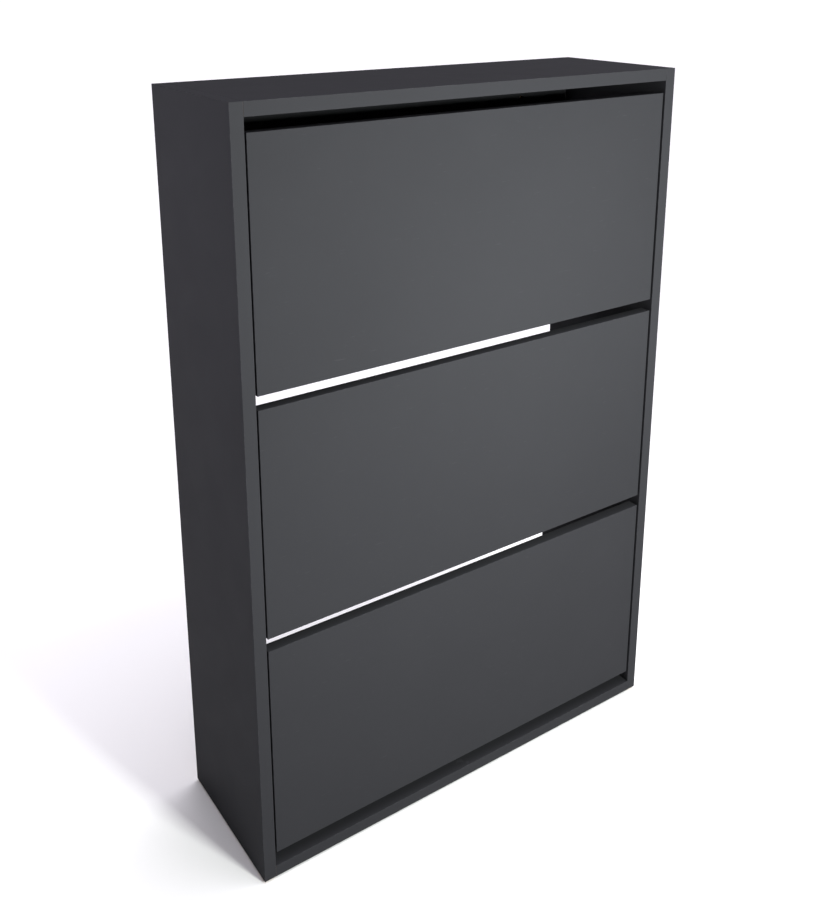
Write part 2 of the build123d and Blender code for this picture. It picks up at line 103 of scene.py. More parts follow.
class CabinetFinish(bpy.types.PropertyGroup):
    """Colours and surface sizes of the cabinet's materials."""

    foil: tint("Foil", "Anthracite melamine foil of the boards", (0.0272, 0.0275, 0.0307))
    band: tint("Edge band", "Edge banding of the boards", (0.0276, 0.0279, 0.0312))
    chip_light: tint("Light chips", "Pale wood chips of a bare board edge", (0.42, 0.29, 0.165))
    chip_dark: tint("Dark chips", "Dark wood chips of a bare board edge", (0.17, 0.098, 0.047))
    lacquer: tint("Lacquer", "Faces of the basket boards", (0.030, 0.030, 0.033))
    fibre: tint("Fibre", "Bare edges of the basket boards", (0.215, 0.125, 0.062))
    plastic: tint("Plastic", "Moulded end plates, brackets and glides", (0.017, 0.017, 0.019))
    rubber: tint("Rubber", "Sleeves of the stops", (0.012, 0.012, 0.012))
    zinc: tint("Zinc", "Plated screws and pins", (0.60, 0.61, 0.62))
    passivation: tint("Passivation", "Warm bloom on the plating", (0.60, 0.52, 0.36))
    beech: tint("Beech", "Wooden dowels", (0.55, 0.37, 0.20))
    band_thickness: length("Band thickness", "Thickness of the edge banding", 0.45)
    foil_thickness: length("Foil thickness", "Thickness of the facing foil", 0.25)
    emboss: length("Emboss", "Depth of the pearl texture of the foil", 0.018)
    edge_wear: share("Edge wear", "How far the board edges have rubbed pale", 0.35)
    mottle: share("Mottle", "Cloudy variation of the foil's colour", 0.07)
    foil_gloss: share("Foil reflection", "Strength of the foil's reflection", 0.03)
    foil_roughness: share("Foil roughness", "Roughness of the foil", 0.60)


class CabinetFittings(bpy.types.PropertyGroup):
    """Sizes of the small fittings that the frame's boxes don't give."""

    screw_size: length("Screw size", "Diameter of the wood screws over the thread", 3.5)
    head_height: length("Pan head", "Height of a pan head", 2.2)
    thread_pitch: length("Thread pitch", "Rise of a wood screw's thread in one turn", 1.4)
    thread_depth: length("Thread depth", "Height of a wood screw's thread", 0.5)
    point_length: length("Point", "Length of a wood screw's point", 3.0)
    recess_reach: length(
        "Recess reach", "Middle of a screw head to the end of its cross recess", 2.1
    )
    recess_width: length("Recess width", "Width of the arms of a cross recess", 0.9)
    recess_depth: length("Recess depth", "Depth of a cross recess", 1.2)
    bolt_thread: length("Bolt thread", "Length of a cam bolt's thread", 11.0)
    bolt_head: length("Bolt head", "Length of a cam bolt's head", 4.0)
    bolt_neck: length("Bolt neck", "Length of the thin neck behind a cam bolt's head", 5.0)
    nail_shank: length("Nail shank", "Diameter of a glide nail's shank", 2.0)
    nail_head: length("Nail head", "Thickness of a glide nail's head", 0.8)
    sleeve_wall: length("Sleeve wall", "Thickness of a stop sleeve's rubber", 1.45)
    groove_depth: length("Grooves", "Depth of the grooves in sleeves and glides", 0.25)
    sleeve_grooves: IntProperty(
        name="Sleeve grooves", description="Grooves round a stop sleeve", default=4, min=1
    )
    flutes: IntProperty(
        name="Flutes", description="Flutes of a dowel and of a pin's knurl", default=20, min=3
    )
    segments: IntProperty(
        name="Segments", description="Faces round a turned fitting", default=40, min=12
    )


COOL_LIGHT = (0.965, 0.935, 1.0)  # default colour of the sky and of the side light


class CabinetStudio(bpy.types.PropertyGroup):
    """Camera, light and floor."""

    camera_place: place_of("Camera place", "Where the camera stands", (-0.8561, -1.1977, 1.2396))
    camera_heading: FloatProperty(
        name="Camera heading",
        description="Turn of the view from straight ahead towards the right",
        subtype="ANGLE",
        default=math.radians(34.455),
    )
    camera_drop: FloatProperty(
        name="Camera drop",
        description="Tilt of the view below the horizon",
        subtype="ANGLE",
        default=math.radians(15.507),
    )
    focal_length: FloatProperty(
        name="Focal length", description="Lens, in millimetres", unit="CAMERA", default=41.57
    )
    sensor: FloatVectorProperty(
        name="Sensor", description="Upright sensor, in millimetres", size=2, default=(24.0, 36.0)
    )
    rise: FloatProperty(
        name="Rise", description="Vertical shift of the lens", default=-0.2167
    )
    floor_tint: tint("Floor", "Pale studio floor", (0.98, 0.98, 0.98))
    floor_size: FloatProperty(
        name="Floor size", description="Side of the floor", unit="LENGTH", default=160.0
    )
    sky_strength: FloatProperty(
        name="Sky strength",
        description="Brightness of the brightest part of the sky",
        default=4.42,
    )
    sky_tint: tint("Sky tint", "Colour of the sky's light", COOL_LIGHT)
    sky_falloff: FloatProperty(
        name="Sky falloff", description="How fast the sky darkens away from that part", default=5.0
    )
    sky_axis: FloatVectorProperty(
        name="Sky axis",
        description="Direction of the brightest part of the sky",
        subtype="DIRECTION",
        default=(math.sin(math.radians(20)), 0.0, math.cos(math.radians(20))),
    )
    key_power: FloatProperty(
        name="Key power", description="Power of the soft front light", unit="POWER", default=15.7
    )
    key_place: place_of("Key place", "Where the soft front light stands", (0.2, -1.8, 1.1))
    key_aim: place_of("Key aim", "Point that the soft front light faces", (0.1, -0.118, 0.78))
    key_tint: tint("Key tint", "Colour of the soft front light", (0.96, 1.0, 0.945))
    key_size: FloatProperty(
        name="Key size", description="Side of the soft front light", unit="LENGTH", default=0.3
    )
    fill_power: FloatProperty(
        name="Fill power", description="Power of the soft side light", unit="POWER", default=1.03
    )
    fill_place: place_of("Fill place", "Where the soft side light stands", (-1.2, 0.1, 1.2))
    fill_aim: place_of("Fill aim", "Point that the soft side light faces", (-0.365, 0.0, 1.0))
    fill_tint: tint("Fill tint", "Colour of the soft side light", COOL_LIGHT)
    fill_size: FloatProperty(
        name="Fill size", description="Side of the soft side light", unit="LENGTH", default=0.5
    )
    lamp_spread: FloatProperty(
        name="Lamp spread",
        description="Angle that the soft lights shine into",
        subtype="ANGLE",
        default=math.radians(80),
    )


# ---------------------------------------------------------------- shader sums
class Field:
    """One output socket, which can be used in sums like a number."""

    def __init__(self, graph, socket):
        self.graph = graph
        self.socket = socket

    def _math(self, operation, *values):
        sockets = dict(zip(("Value", "Value_001", "Value_002"), values))
        return self.graph.node("ShaderNodeMath", {"operation": operation}, sockets)["Value"]

    def __add__(self, other):
        return self._math("ADD", self, other)

    def __radd__(self, other):
        return self._math("ADD", other, self)

    def __sub__(self, other):
        return self._math("SUBTRACT", self, other)

    def __rsub__(self, other):
        return self._math("SUBTRACT", other, self)

    def __mul__(self, other):
        return self._math("MULTIPLY", self, other)

    def __rmul__(self, other):
        return self._math("MULTIPLY", other, self)

    def __pow__(self, other):
        return self._math("POWER", self, other)

    def __abs__(self):
        return self._math("ABSOLUTE", self)

    def least(self, other):
        """The smaller of the two."""
        return self._math("MINIMUM", self, other)

    def most(self, other):
        """The larger of the two."""
        return self._math("MAXIMUM", self, other)

    def above(self, edge, width):
        """0 below the edge, 1 above it, with a soft step of that width."""
        sockets = {
            "Value": self,
            "From Min": edge - width / 2,
            "From Max": edge + width / 2,
        }
        settings = {"interpolation_type": "SMOOTHSTEP", "clamp": True}
        return self.graph.node("ShaderNodeMapRange", settings, sockets)["Result"]

    def below(self, edge, width):
        """1 below the edge, 0 above it, with a soft step of that width."""
        return 1 - self.above(edge, width)


class Outputs:
    """The enabled outputs of a node, by name."""

    def __init__(self, graph, node):
        self.graph = graph
        self.made = node

    def __getitem__(self, name):
        found = [s for s in self.made.outputs if s.enabled and name in (s.name, s.identifier)]
        return Field(self.graph, found[0])


class Graph:
    """Node tree of a material or of the world, written as sums."""

    def __init__(self, owner):
        owner.use_nodes = True
        self.owner = owner
        self.tree = owner.node_tree
        self.tree.nodes.clear()

    def node(self, kind, settings=None, inputs=None):
        """Adds a node: first its settings, then the values or links of its sockets."""
        made = self.tree.nodes.new(kind)
        for name, value in (settings or {}).items():
            setattr(made, name, value)
        for name, value in (inputs or {}).items():
            wanted = [s for s in made.inputs if s.enabled and name in (s.identifier, s.name)]
            if isinstance(value, Field):
                self.tree.links.new(value.socket, wanted[0])
            else:
                wanted[0].default_value = value
        return Outputs(self, made)

    def place(self):
        """Position in the model's frame, which stays with the piece when it tilts."""
        return self.node("ShaderNodeTexCoord")["Object"]

    def facing(self):
        """Surface direction in the model's frame."""
        return self.node("ShaderNodeTexCoord")["Normal"]

    def split(self, vector):
        """The three parts of a vector."""
        parts = self.node("ShaderNodeSeparateXYZ", inputs={"Vector": vector})
        return [parts[axis] for axis in AXES]

    def stretched(self, vector, scale):
        """A vector with each part multiplied."""
        settings = {"operation": "MULTIPLY"}
        sockets = {"Vector": vector, "Vector_001": scale}
        return self.node("ShaderNodeVectorMath", settings, sockets)["Vector"]

    def dot(self, vector, direction):
        """Size of a vector's part along a direction."""
        settings = {"operation": "DOT_PRODUCT"}
        sockets = {"Vector": vector, "Vector_001": direction}
        return self.node("ShaderNodeVectorMath", settings, sockets)["Value"]

    def clouds(self, vector, size, detail=2.0, roughness=0.5, distortion=0.0):
        """Noise from 0 to 1 whose features have that size."""
        sockets = {
            "Vector": vector,
            "Scale": 1 / size,
            "Detail": detail,
            "Roughness": roughness,
            "Distortion": distortion,
        }
        return self.node("ShaderNodeTexNoise", {}, sockets)["Fac"]

    def cells(self, vector, size, output="Distance", feature="F1"):
        """Cell pattern whose cells have that size."""
        sockets = {"Vector": vector, "Scale": 1 / size, "Randomness": 1.0}
        return self.node("ShaderNodeTexVoronoi", {"feature": feature}, sockets)[output]

    def blend(self, factor, first, second):
        """Colour from first, at 0, to second, at 1."""
        sockets = {"Factor": factor, "A": as_colour(first), "B": as_colour(second)}
        return self.node("ShaderNodeMix", {"data_type": "RGBA"}, sockets)["Result"]

    def shade(self, colour, brightness):
        """Colour multiplied by a brightness."""
        levels = dict.fromkeys(("Red", "Green", "Blue"), brightness)
        grey = self.node("ShaderNodeCombineColor", {}, levels)
        settings = {"data_type": "RGBA", "blend_type": "MULTIPLY"}
        sockets = {"Factor": 1.0, "A": as_colour(colour), "B": grey["Color"]}
        return self.node("ShaderNodeMix", settings, sockets)["Result"]

    def bumps(self, height, distance, under=None):
        """Surface direction after relief of that height."""
        sockets = {"Height": height, "Distance": distance, "Strength": 1.0}
        if under is not None:
            sockets["Normal"] = under
        return self.node("ShaderNodeBump", {}, sockets)["Normal"]

    def surface(self, colour, roughness, normal, **constants):
        """Closes the tree with a surface; constants go straight to its sockets."""
        sockets = {"Base Color": colour, "Roughness": roughness, "Normal": normal}
        sockets.update({name.replace("_", " "): value for name, value in constants.items()})
        made = self.node("ShaderNodeBsdfPrincipled", {}, sockets)
        self.node("ShaderNodeOutputMaterial", {}, {"Surface": made["BSDF"]})
        return self.owner


def as_colour(value):
    """A colour property with its alpha, or a field as it is."""
    return value if isinstance(value, Field) else (*value[:3], 1.0)


def new_graph(name):
    """Empty graph of a new material."""
    return Graph(bpy.data.materials.new(name))


def scaled(colour, factor):
    """A plain colour, brighter or darker."""
    return [min(1.0, factor * part) for part in colour]


# ---------------------------------------------------------------- finishes
MEAN = 0.5  # average of a cloud pattern


def rubbed_edges(graph, place, nearness, amount):
    """Mask of the places where an edge has rubbed pale."""
    patch, reach, fade = 9 * MM, 0.5 * MM, 0.9 * MM
    patches = graph.clouds(place, patch, detail=4.0, roughness=0.65).above(0.54, 0.16)
    return nearness.below(reach, fade) * patches * amount


def board_depths(graph, place, low, high):
    """Depth of a point below each of the three pairs of faces of a board."""
    depths = []
    for axis, part in enumerate(graph.split(place)):
        middle = (low[axis] + high[axis]) / 2
        half = (high[axis] - low[axis]) / 2
        depths.append(half - abs(part - middle))
    return depths


def chipboard(graph, place, depth, finish):
    """Colour and relief of bare chipboard: coarse chips inside, fine ones under the faces."""
    chip, fine_chip, fibre = 2.6 * MM, 0.9 * MM, 0.35 * MM
    fine_layer, change = 3.4 * MM, 1.4 * MM
    lying = graph.stretched(place, (0.55, 0.8, 1.5))
    coarse_grey = graph.split(graph.cells(lying, chip, output="Color"))[0]
    fine_grey = graph.split(graph.cells(place, fine_chip, output="Color"))[0]
    core = depth.above(fine_layer, change)
    mixed = coarse_grey * core + fine_grey * (1 - core)
    speck = graph.clouds(place, fibre, detail=3.0)
    tone = mixed * 0.75 + speck * 0.35
    colour = graph.blend(tone.above(0.5, 0.9), finish.chip_dark, finish.chip_light)
    return colour, tone


def melamine(name, node, bare, finish):
    """Anthracite melamine on one board: foil on its faces, banded edges, bare chipboard elsewhere.

    bare names the edges that have no band, as an axis and a side, such as ("Y", 1).
    """
    cloud_size, grain_size, dot_size, smear_size = 160 * MM, 1.9 * MM, 0.6 * MM, 55 * MM
    hole_depth, skin, line, chip_relief = 0.6 * MM, 0.12 * MM, 0.1 * MM, 0.25 * MM
    worn, scuffed = scaled(finish.foil, 2.6), scaled(finish.foil, 1.7)
    streak_width, chip_roughness = 2.2 * MM, 0.88

    low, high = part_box(node)
    size = high - low
    thin = min(range(3), key=lambda axis: size[axis])
    graph = new_graph(name)
    place = graph.place()
    depths = board_depths(graph, place, low, high)
    below_face = depths[thin]
    rim_a, rim_b = [depth for axis, depth in enumerate(depths) if axis != thin]
    rim = rim_a.least(rim_b)
    on_edge = below_face.above(finish.foil_thickness, line)

    cloud = graph.clouds(place, cloud_size, detail=4.0, roughness=0.6)
    grain = graph.clouds(place, grain_size, detail=3.0, roughness=0.6)
    print_dots = graph.clouds(place, dot_size, detail=1.0)
    uneven = (cloud - MEAN) * 1.6 + (grain - MEAN) * 0.9 + (print_dots - MEAN) * 0.6
    light = 1 + finish.mottle * uneven
    foil = graph.shade(finish.foil, light)
    band = graph.shade(finish.band, light)
    colour = graph.blend(on_edge, foil, band)

    pale_marks = rubbed_edges(graph, place, below_face.most(rim), finish.edge_wear)
    colour = graph.blend(pale_marks, colour, worn)
    lengthwise = graph.stretched(place, (0.12, 0.12, 1.0))
    streaks = graph.clouds(lengthwise, streak_width, detail=2.0)
    scuffs = streaks.above(0.735, 0.05) * (1 - on_edge) * 0.35
    colour = graph.blend(scuffs, colour, scuffed)

    raw = below_face.least(rim).above(hole_depth, 2 * line)
    outward = graph.split(graph.facing())
    parts = graph.split(place)
    for axis_name, side in bare:
        axis = AXES.index(axis_name)
        limit = high[axis] if side > 0 else low[axis]
        near = abs(parts[axis] - limit).below(skin, line)
        faces_out = (outward[axis] * side).above(0.9, 0.1)
        raw = raw.most(near * faces_out * on_edge)
    wood, wood_relief = chipboard(graph, place, below_face, finish)
    colour = graph.blend(raw, colour, wood)

    smear = graph.clouds(place, smear_size, detail=3.0, distortion=0.6)
    roughness = finish.foil_roughness + (smear - MEAN) * 0.12 - pale_marks * 0.1 - on_edge * 0.05
    roughness = roughness * (1 - raw) + chip_roughness * raw
    seam = abs(rim - finish.band_thickness).below(line, 0.8 * line) * (1 - on_edge)
    relief = (grain * 0.7 + print_dots * 0.3) * (1 - raw) - seam * 2.0
    normal = graph.bumps(relief, finish.emboss)
    normal = graph.bumps(wood_relief * raw, chip_relief, normal)
    return graph.surface(colour, roughness, normal, Specular_IOR_Level=finish.foil_gloss)


def fibreboard(name, face, finish):
    """Thin lacquered fibreboard with bare brown edges. face is the direction of its faces."""
    hair, scuff, peel_size, relief_height = 1.1 * MM, 3 * MM, 1.6 * MM, 0.09 * MM
    cloud_size = 90 * MM
    graph = new_graph(name)
    place = graph.place()
    on_face = abs(graph.dot(graph.facing(), face)).above(0.8, 0.1)
    along = graph.stretched(place, (0.25, 1.0, 1.0))
    hairs = graph.clouds(along, hair, detail=4.0, roughness=0.7)
    cloud = graph.clouds(place, cloud_size, detail=3.0)
    lacquer = graph.shade(finish.lacquer, 0.9 + cloud * 0.25)
    fibre = graph.shade(finish.fibre, 0.65 + hairs * 0.7)
    colour = graph.blend(on_face, fibre, lacquer)
    across = graph.stretched(place, (1.0, 0.3, 0.25))
    scuffs = graph.clouds(across, scuff, detail=2.0).above(0.72, 0.06)
    colour = graph.blend(scuffs * on_face * 0.4, colour, scaled(finish.lacquer, 2.4))
    roughness = 0.92 - on_face * 0.42 + (cloud - MEAN) * 0.1
    peel = graph.clouds(place, peel_size, detail=2.0)
    relief = peel * on_face * 0.35 + hairs * (1 - on_face)
    normal = graph.bumps(relief, relief_height)
    return graph.surface(colour, roughness, normal, Specular_IOR_Level=0.3)


def moulded_plastic(name, finish):
    """Black moulding with a spark-eroded grain, softened edges, pale dust specks and a painted
    highlight in patches along its edges.
    """
    edge_radius, grain_size, grain_depth = 0.4 * MM, 0.55 * MM, 0.035 * MM
    flow_size, dust_size, patch_size = 28 * MM, 0.9 * MM, 6 * MM
    graph = new_graph(name)
    place = graph.place()
    softened = graph.node("ShaderNodeBevel", {"samples": 6}, {"Radius": edge_radius})["Normal"]
    flat = graph.node("ShaderNodeNewGeometry")["True Normal"]
    # Painted highlight: where the softened normal turns away from the flat face, at the edges, the
    # colour is painted paler below.
    edge_highlight = graph.dot(softened, flat).below(0.9, 0.16)
    grain = graph.cells(place, grain_size)
    upright = graph.stretched(place, (1.0, 1.0, 0.4))
    flow = graph.clouds(upright, flow_size, detail=3.0, distortion=0.8)
    dust = graph.clouds(place, dust_size, detail=2.0).above(0.68, 0.08)
    patches = graph.clouds(place, patch_size, detail=3.0).above(0.5, 0.2)
    colour = graph.shade(finish.plastic, 0.8 + flow * 0.45)
    # Pale dust specks, plus the painted edge highlight broken into patches.
    pale_marks = dust * 0.25 + edge_highlight * patches * 0.35
    colour = graph.blend(pale_marks, colour, scaled(finish.plastic, 3.0))
    roughness = 0.42 + flow * 0.16 - grain * 0.05
    normal = graph.bumps(grain, grain_depth, softened)
    return graph.surface(colour, roughness, normal, Specular_IOR_Level=0.4)


def plated_steel(name, finish):
    """Zinc-plated steel with a warm passivation bloom and fine turning marks."""
    graph = new_graph(name)
    place = graph.place()
    bloom_size, spangle_size, mark_size, mark_depth = 3.5 * MM, 0.5 * MM, 0.3 * MM, 0.012 * MM
    bloom = graph.clouds(place, bloom_size, detail=3.0, distortion=0.5)
    spangle = graph.cells(place, spangle_size, output="Color")
    colour = graph.blend(bloom.above(0.55, 0.3) * 0.55, finish.zinc, finish.passivation)
    colour = graph.shade(colour, 0.85 + graph.split(spangle)[0] * 0.2)
    roughness = 0.28 + bloom * 0.18
    marks = graph.clouds(graph.stretched(place, (3.0, 1.0, 1.0)), mark_size, detail=2.0)
    return graph.surface(colour, roughness, graph.bumps(marks, mark_depth), Metallic=1.0)


def cast_zinc(name, finish):
    """Dull pressure-cast zinc with flow marks and small pits."""
    graph = new_graph(name)
    place = graph.place()
    flow_size, pit_gap, pit_depth = 2.8 * MM, 0.8 * MM, 0.03 * MM
    flow = graph.clouds(place, flow_size, detail=4.0, distortion=1.2)
    pits = graph.cells(place, pit_gap).below(0.12, 0.1)
    colour = graph.shade(finish.zinc, 0.5 + flow * 0.35 - pits * 0.15)
    normal = graph.bumps(flow * 0.4 - pits, pit_depth)
    return graph.surface(colour, 0.42 + flow * 0.2, normal, Metallic=1.0)


def matt_rubber(name, finish):
    """Dull rubber with a faint bloom."""
    graph = new_graph(name)
    place = graph.place()
    bloom_size, grit, grit_depth = 2.5 * MM, 0.25 * MM, 0.02 * MM
    bloom = graph.clouds(place, bloom_size, detail=3.0)
    colour = graph.shade(finish.rubber, 0.7 + bloom * 0.8)
    normal = graph.bumps(graph.clouds(place, grit, detail=1.0), grit_depth)
    return graph.surface(colour, 0.78 + bloom * 0.14, normal, Specular_IOR_Level=0.25)


def beech_wood(name, finish):
    """Beech with grain along X and short dark flecks."""
    graph = new_graph(name)
    place = graph.place()
    grain_size, grain_depth, fleck = 0.8 * MM, 0.04 * MM, 0.7 * MM
    grain = graph.clouds(graph.stretched(place, (0.08, 1.0, 1.0)), grain_size, detail=3.0)
    flecks = graph.cells(graph.stretched(place, (0.35, 1.0, 1.0)), fleck).below(0.16, 0.1)
    colour = graph.shade(finish.beech, 0.82 + grain * 0.35)
    colour = graph.blend(flecks * 0.5, colour, scaled(finish.beech, 0.45))
    normal = graph.bumps(grain, grain_depth)
    return graph.surface(colour, 0.6 + grain * 0.15, normal, Specular_IOR_Level=0.3)


def pale_floor(name, studio):
    """Pale matt studio floor."""
    graph = new_graph(name)
    place = graph.place()
    cloud_size, ripple, ripple_depth = 800 * MM, 4 * MM, 0.02 * MM
    cloud = graph.clouds(place, cloud_size, detail=3.0)
    colour = graph.shade(studio.floor_tint, 0.99 + cloud * 0.02)
    normal = graph.bumps(graph.clouds(place, ripple, detail=2.0), ripple_depth)
    return graph.surface(colour, 0.9 + cloud * 0.02, normal, Specular_IOR_Level=0.1)


def finish_node(node, material):
    """Gives a node of the frame its material."""
    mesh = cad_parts[node].data
    mesh.materials.clear()
    mesh.materials.append(material)


# ---------------------------------------------------------------- turned fittings
HIGHEST_RIDGE = math.radians(32)  # sharper edges stay sharp in the shading


def lumps(node):
    """Lowest and highest corners of each separate solid of a node."""
    solid = bmesh.new()
    solid.from_mesh(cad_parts[node].data)
    bmesh.ops.remove_doubles(solid, verts=solid.verts, dist=0.001 * MM)
    boxes, met = [], set()
    for start in solid.verts:
        if start in met:
            continue
        met.add(start)
        reached = [start]
        for vert in reached:
            for edge in vert.link_edges:
                other = edge.other_vert(vert)
                if other not in met:
                    met.add(other)
                    reached.append(other)
        spots = list(zip(*(vert.co for vert in reached)))
        boxes.append((Vector(map(min, spots)), Vector(map(max, spots))))
    solid.free()
    return boxes


def seat(box, outward, across=None):
    """Matrix at the middle of a box's outward end, Z outward; then the box's depth and radius."""
    low, high = box
    outward = Vector(outward)
    across = Vector(across) if across else outward.orthogonal().normalized()
    size = high - low
    depth = abs(size.dot(outward))
    radius = max(part for part, along in zip(size, outward) if not along) / 2
    turn = Matrix((across, outward.cross(across), outward)).transposed().to_4x4()
    end = (low + high) / 2 + outward * depth / 2
    return Matrix.Translation(end) @ turn, depth, radius


def towards_middle(box):
    """Unit vector along X from a box to the cabinet's middle."""
    return Vector((-math.copysign(1.0, box[0].x + box[1].x), 0, 0))


def seats_of(node, outward=None):
    """Seats of a node's solids, which face the cabinet's middle unless outward is given."""
    return [seat(box, outward or towards_middle(box)) for box in lumps(node)]


def turned(profile, segments, radius_at=None, ring=False):
    """Mesh turned round Z from (radius, height) points, listed from the head down.

    radius_at changes a radius by its height and angle. The profile of a ring closes on itself.
    """
    solid = bmesh.new()
    rows = []
    for radius, height in profile:
        row = []
        for step in range(segments if radius > 0 else 1):
            angle = math.tau * step / segments
            reach = radius_at(radius, height, angle) if radius_at else radius
            row.append(solid.verts.new((reach * math.cos(angle), reach * math.sin(angle), height)))
        rows.append(row)
    for upper, lower in zip(rows, rows[1:] + rows[:1] if ring else rows[1:]):
        for step in range(segments):
            after = step + 1
            corners = (
                upper[step % len(upper)],
                lower[step % len(lower)],
                lower[after % len(lower)],
                upper[after % len(upper)],
            )
            solid.faces.new(tuple(dict.fromkeys(corners)))
    return finished_mesh(solid)


def finished_mesh(solid):
    """Mesh of a bmesh, with its faces looking outward."""
    bmesh.ops.recalc_face_normals(solid, faces=solid.faces)
    mesh = bpy.data.meshes.new("fitting")
    solid.to_mesh(mesh)
    solid.free()
    return mesh


def prism(outline, top, bottom, shrink=1.0):
    """Upright prism on an outline, shrunk towards the Z axis at its bottom."""
    solid = bmesh.new()
    upper = [solid.verts.new((x, y, top)) for x, y in outline]
    lower = [solid.verts.new((x * shrink, y * shrink, bottom)) for x, y in outline]
    solid.faces.new(upper)
    solid.faces.new(lower[::-1])
    for one, (above, below) in enumerate(zip(upper, lower)):
        other = (one + 1) % len(upper)
        solid.faces.new((above, below, lower[other], upper[other]))
    return finished_mesh(solid)


def cross(reach, width, depth):
    """Tapered cross that cuts a driver recess into a face at height 0."""
    half, above, taper = width / 2, 0.3 * MM, 0.55
    arm = ((reach, -half), (reach, half), (half, half))
    quarters = ((1, 0), (0, 1), (-1, 0), (0, -1))
    outline = [(c * x - s * y, s * x + c * y) for c, s in quarters for x, y in arm]
    return prism(outline, above, -depth, shrink=taper)


def carved(blank, *cutters):
    """The blank with the cutters' shapes taken out of it."""
    collection = bpy.context.scene.collection
    block, *knives = [bpy.data.objects.new("carving", mesh) for mesh in (blank, *cutters)]
    for made in (block, *knives):
        collection.objects.link(made)
    for knife in knives:
        cut = block.modifiers.new("cut", "BOOLEAN")
        cut.operation, cut.solver, cut.object = "DIFFERENCE", "EXACT", knife
    bpy.context.view_layer.update()
    shown = block.evaluated_get(bpy.context.evaluated_depsgraph_get())
    mesh = bpy.data.meshes.new_from_object(shown)
    for made in (block, *knives):
        bpy.data.objects.remove(made)
    return mesh


def threaded(radius, pitch, depth, start, end):
    """Radius of a right-hand thread between two heights, for turned."""

    def radius_at(reach, height, angle):
        if not end < height < start:
            return reach
        grown = min(1.0, (start - height) / pitch)
        flank = abs(2 * ((height / pitch - angle / math.tau) % 1.0) - 1)
        return reach * (1 - depth / radius * grown * flank)

    return radius_at


def fluted(count, depth, start, end):
    """Radius of a body with flutes between two heights, for turned."""

    def radius_at(reach, height, angle):
        if not end < height < start:
            return reach
        return reach - depth * (0.5 + 0.5 * math.cos(count * angle))

    return radius_at


def rows_between(radius, start, end, gap):
    """Profile points down a straight side, a gap apart."""
    count = max(1, round((start - end) / gap))
    return [(radius, start + (end - start) * step / count) for step in range(count + 1)]


# Outlines, from the top down: shares of a radius and of a height.
PAN_HEAD = (
    (0, 0), (0.4, 0.01), (0.62, 0.06), (0.8, 0.17),
    (0.92, 0.36), (0.99, 0.65), (1, 0.92), (0.95, 1),
)
SUNK_HEAD = ((0, 0), (0.93, 0), (1, 0.1))
NAIL_HEAD = ((0, 0), (0.7, 0), (0.94, 0.15), (1, 0.45), (1, 0.9), (0.95, 1))
PIN_DOME = ((0, 0), (0.55, 0.1), (0.85, 0.45), (1, 1))
GLIDE_RIM = ((0.82, 0), (0.91, 0.08), (0.97, 0.22), (1, 0.4))
GRIP_RING = (0.58, 0.6, 0.68, 0.7)  # shares of a glide's radius, from its middle outward
ROWS_PER_TURN = 8  # of a thread
SCREW_SEED = 11  # for the angles at which the screws have stopped


def profile_of(shares, radius, height):
    """Profile points of an outline."""
    return [(share_r * radius, -share_h * height) for share_r, share_h in shares]


def wood_screw(depth, head_radius, fittings, sunk):
    """Wood screw with its head's face at height 0, threaded down to its point."""
    radius, pitch = fittings.screw_size / 2, fittings.thread_pitch
    under = head_radius - radius if sunk else fittings.head_height
    profile = profile_of(SUNK_HEAD if sunk else PAN_HEAD, head_radius, under)
    tip = fittings.point_length - depth
    profile += rows_between(radius, -under, tip, pitch / ROWS_PER_TURN)
    point_rows = rows_between(radius, tip, -depth, pitch / ROWS_PER_TURN)[1:]
    profile += [
        (radius * math.sqrt(1 - step / len(point_rows)), height)
        for step, (_, height) in enumerate(point_rows, 1)
    ]
    ridge = threaded(radius, pitch, fittings.thread_depth, -under - pitch / 2, -depth)
    blank = turned(profile, fittings.segments, ridge)
    recess = cross(fittings.recess_reach, fittings.recess_width, fittings.recess_depth)
    return carved(blank, recess)


def cam_lock(depth, radius, bolt_radius, fittings):
    """Cam lock with its face at height 0 and its mouth towards +X."""
    rim, arrow_depth = 0.5 * MM, 0.4 * MM
    profile = [(0, 0), (radius - rim, 0), (radius, -rim)]
    profile += [(radius, rim - depth), (radius - rim, -depth), (0, -depth)]
    blank = turned(profile, fittings.segments)
    recess = cross(radius / 2, 2 * fittings.recess_width, 2 * fittings.recess_depth)
    near, far, half = 0.62 * radius, 0.86 * radius, 0.16 * radius
    arrow = prism(((near, -half), (far, 0), (near, half)), rim, -arrow_depth)
    wide, reach = bolt_radius + rim, 2 * radius
    mouth = turned([(0, reach), (wide, reach), (wide, -wide), (0, -wide)], fittings.segments)
    mouth.transform(
        Matrix.Translation((0, 0, bolt_radius - depth)) @ Matrix.Rotation(math.pi / 2, 4, "Y")
    )
    return carved(blank, recess, arrow, mouth)


def cam_bolt(depth, radius, fittings):
    """Cam bolt with its head's end at height 0: head, neck, shank and thread."""
    shank, neck, core = radius * 0.86, radius * 0.63, radius * 0.71
    edge = 0.5 * MM
    head_end = -fittings.bolt_head
    neck_end = head_end - fittings.bolt_neck
    thread_top = fittings.bolt_thread - depth
    profile = [
        (0, 0),
        (radius - 2 * edge, 0),
        (radius, -edge * 2),
        (radius, head_end + edge),
        (neck, head_end),
        (neck, neck_end),
        (shank, neck_end - edge),
        (shank, thread_top + edge),
    ]
    pitch = fittings.thread_pitch
    profile += rows_between(core, thread_top, edge - depth, pitch / ROWS_PER_TURN)
    profile += [(core - 2 * edge, -depth), (0, -depth)]
    ridge = threaded(core, pitch, fittings.thread_depth, thread_top, edge - depth)
    return turned(profile, fittings.segments, ridge)


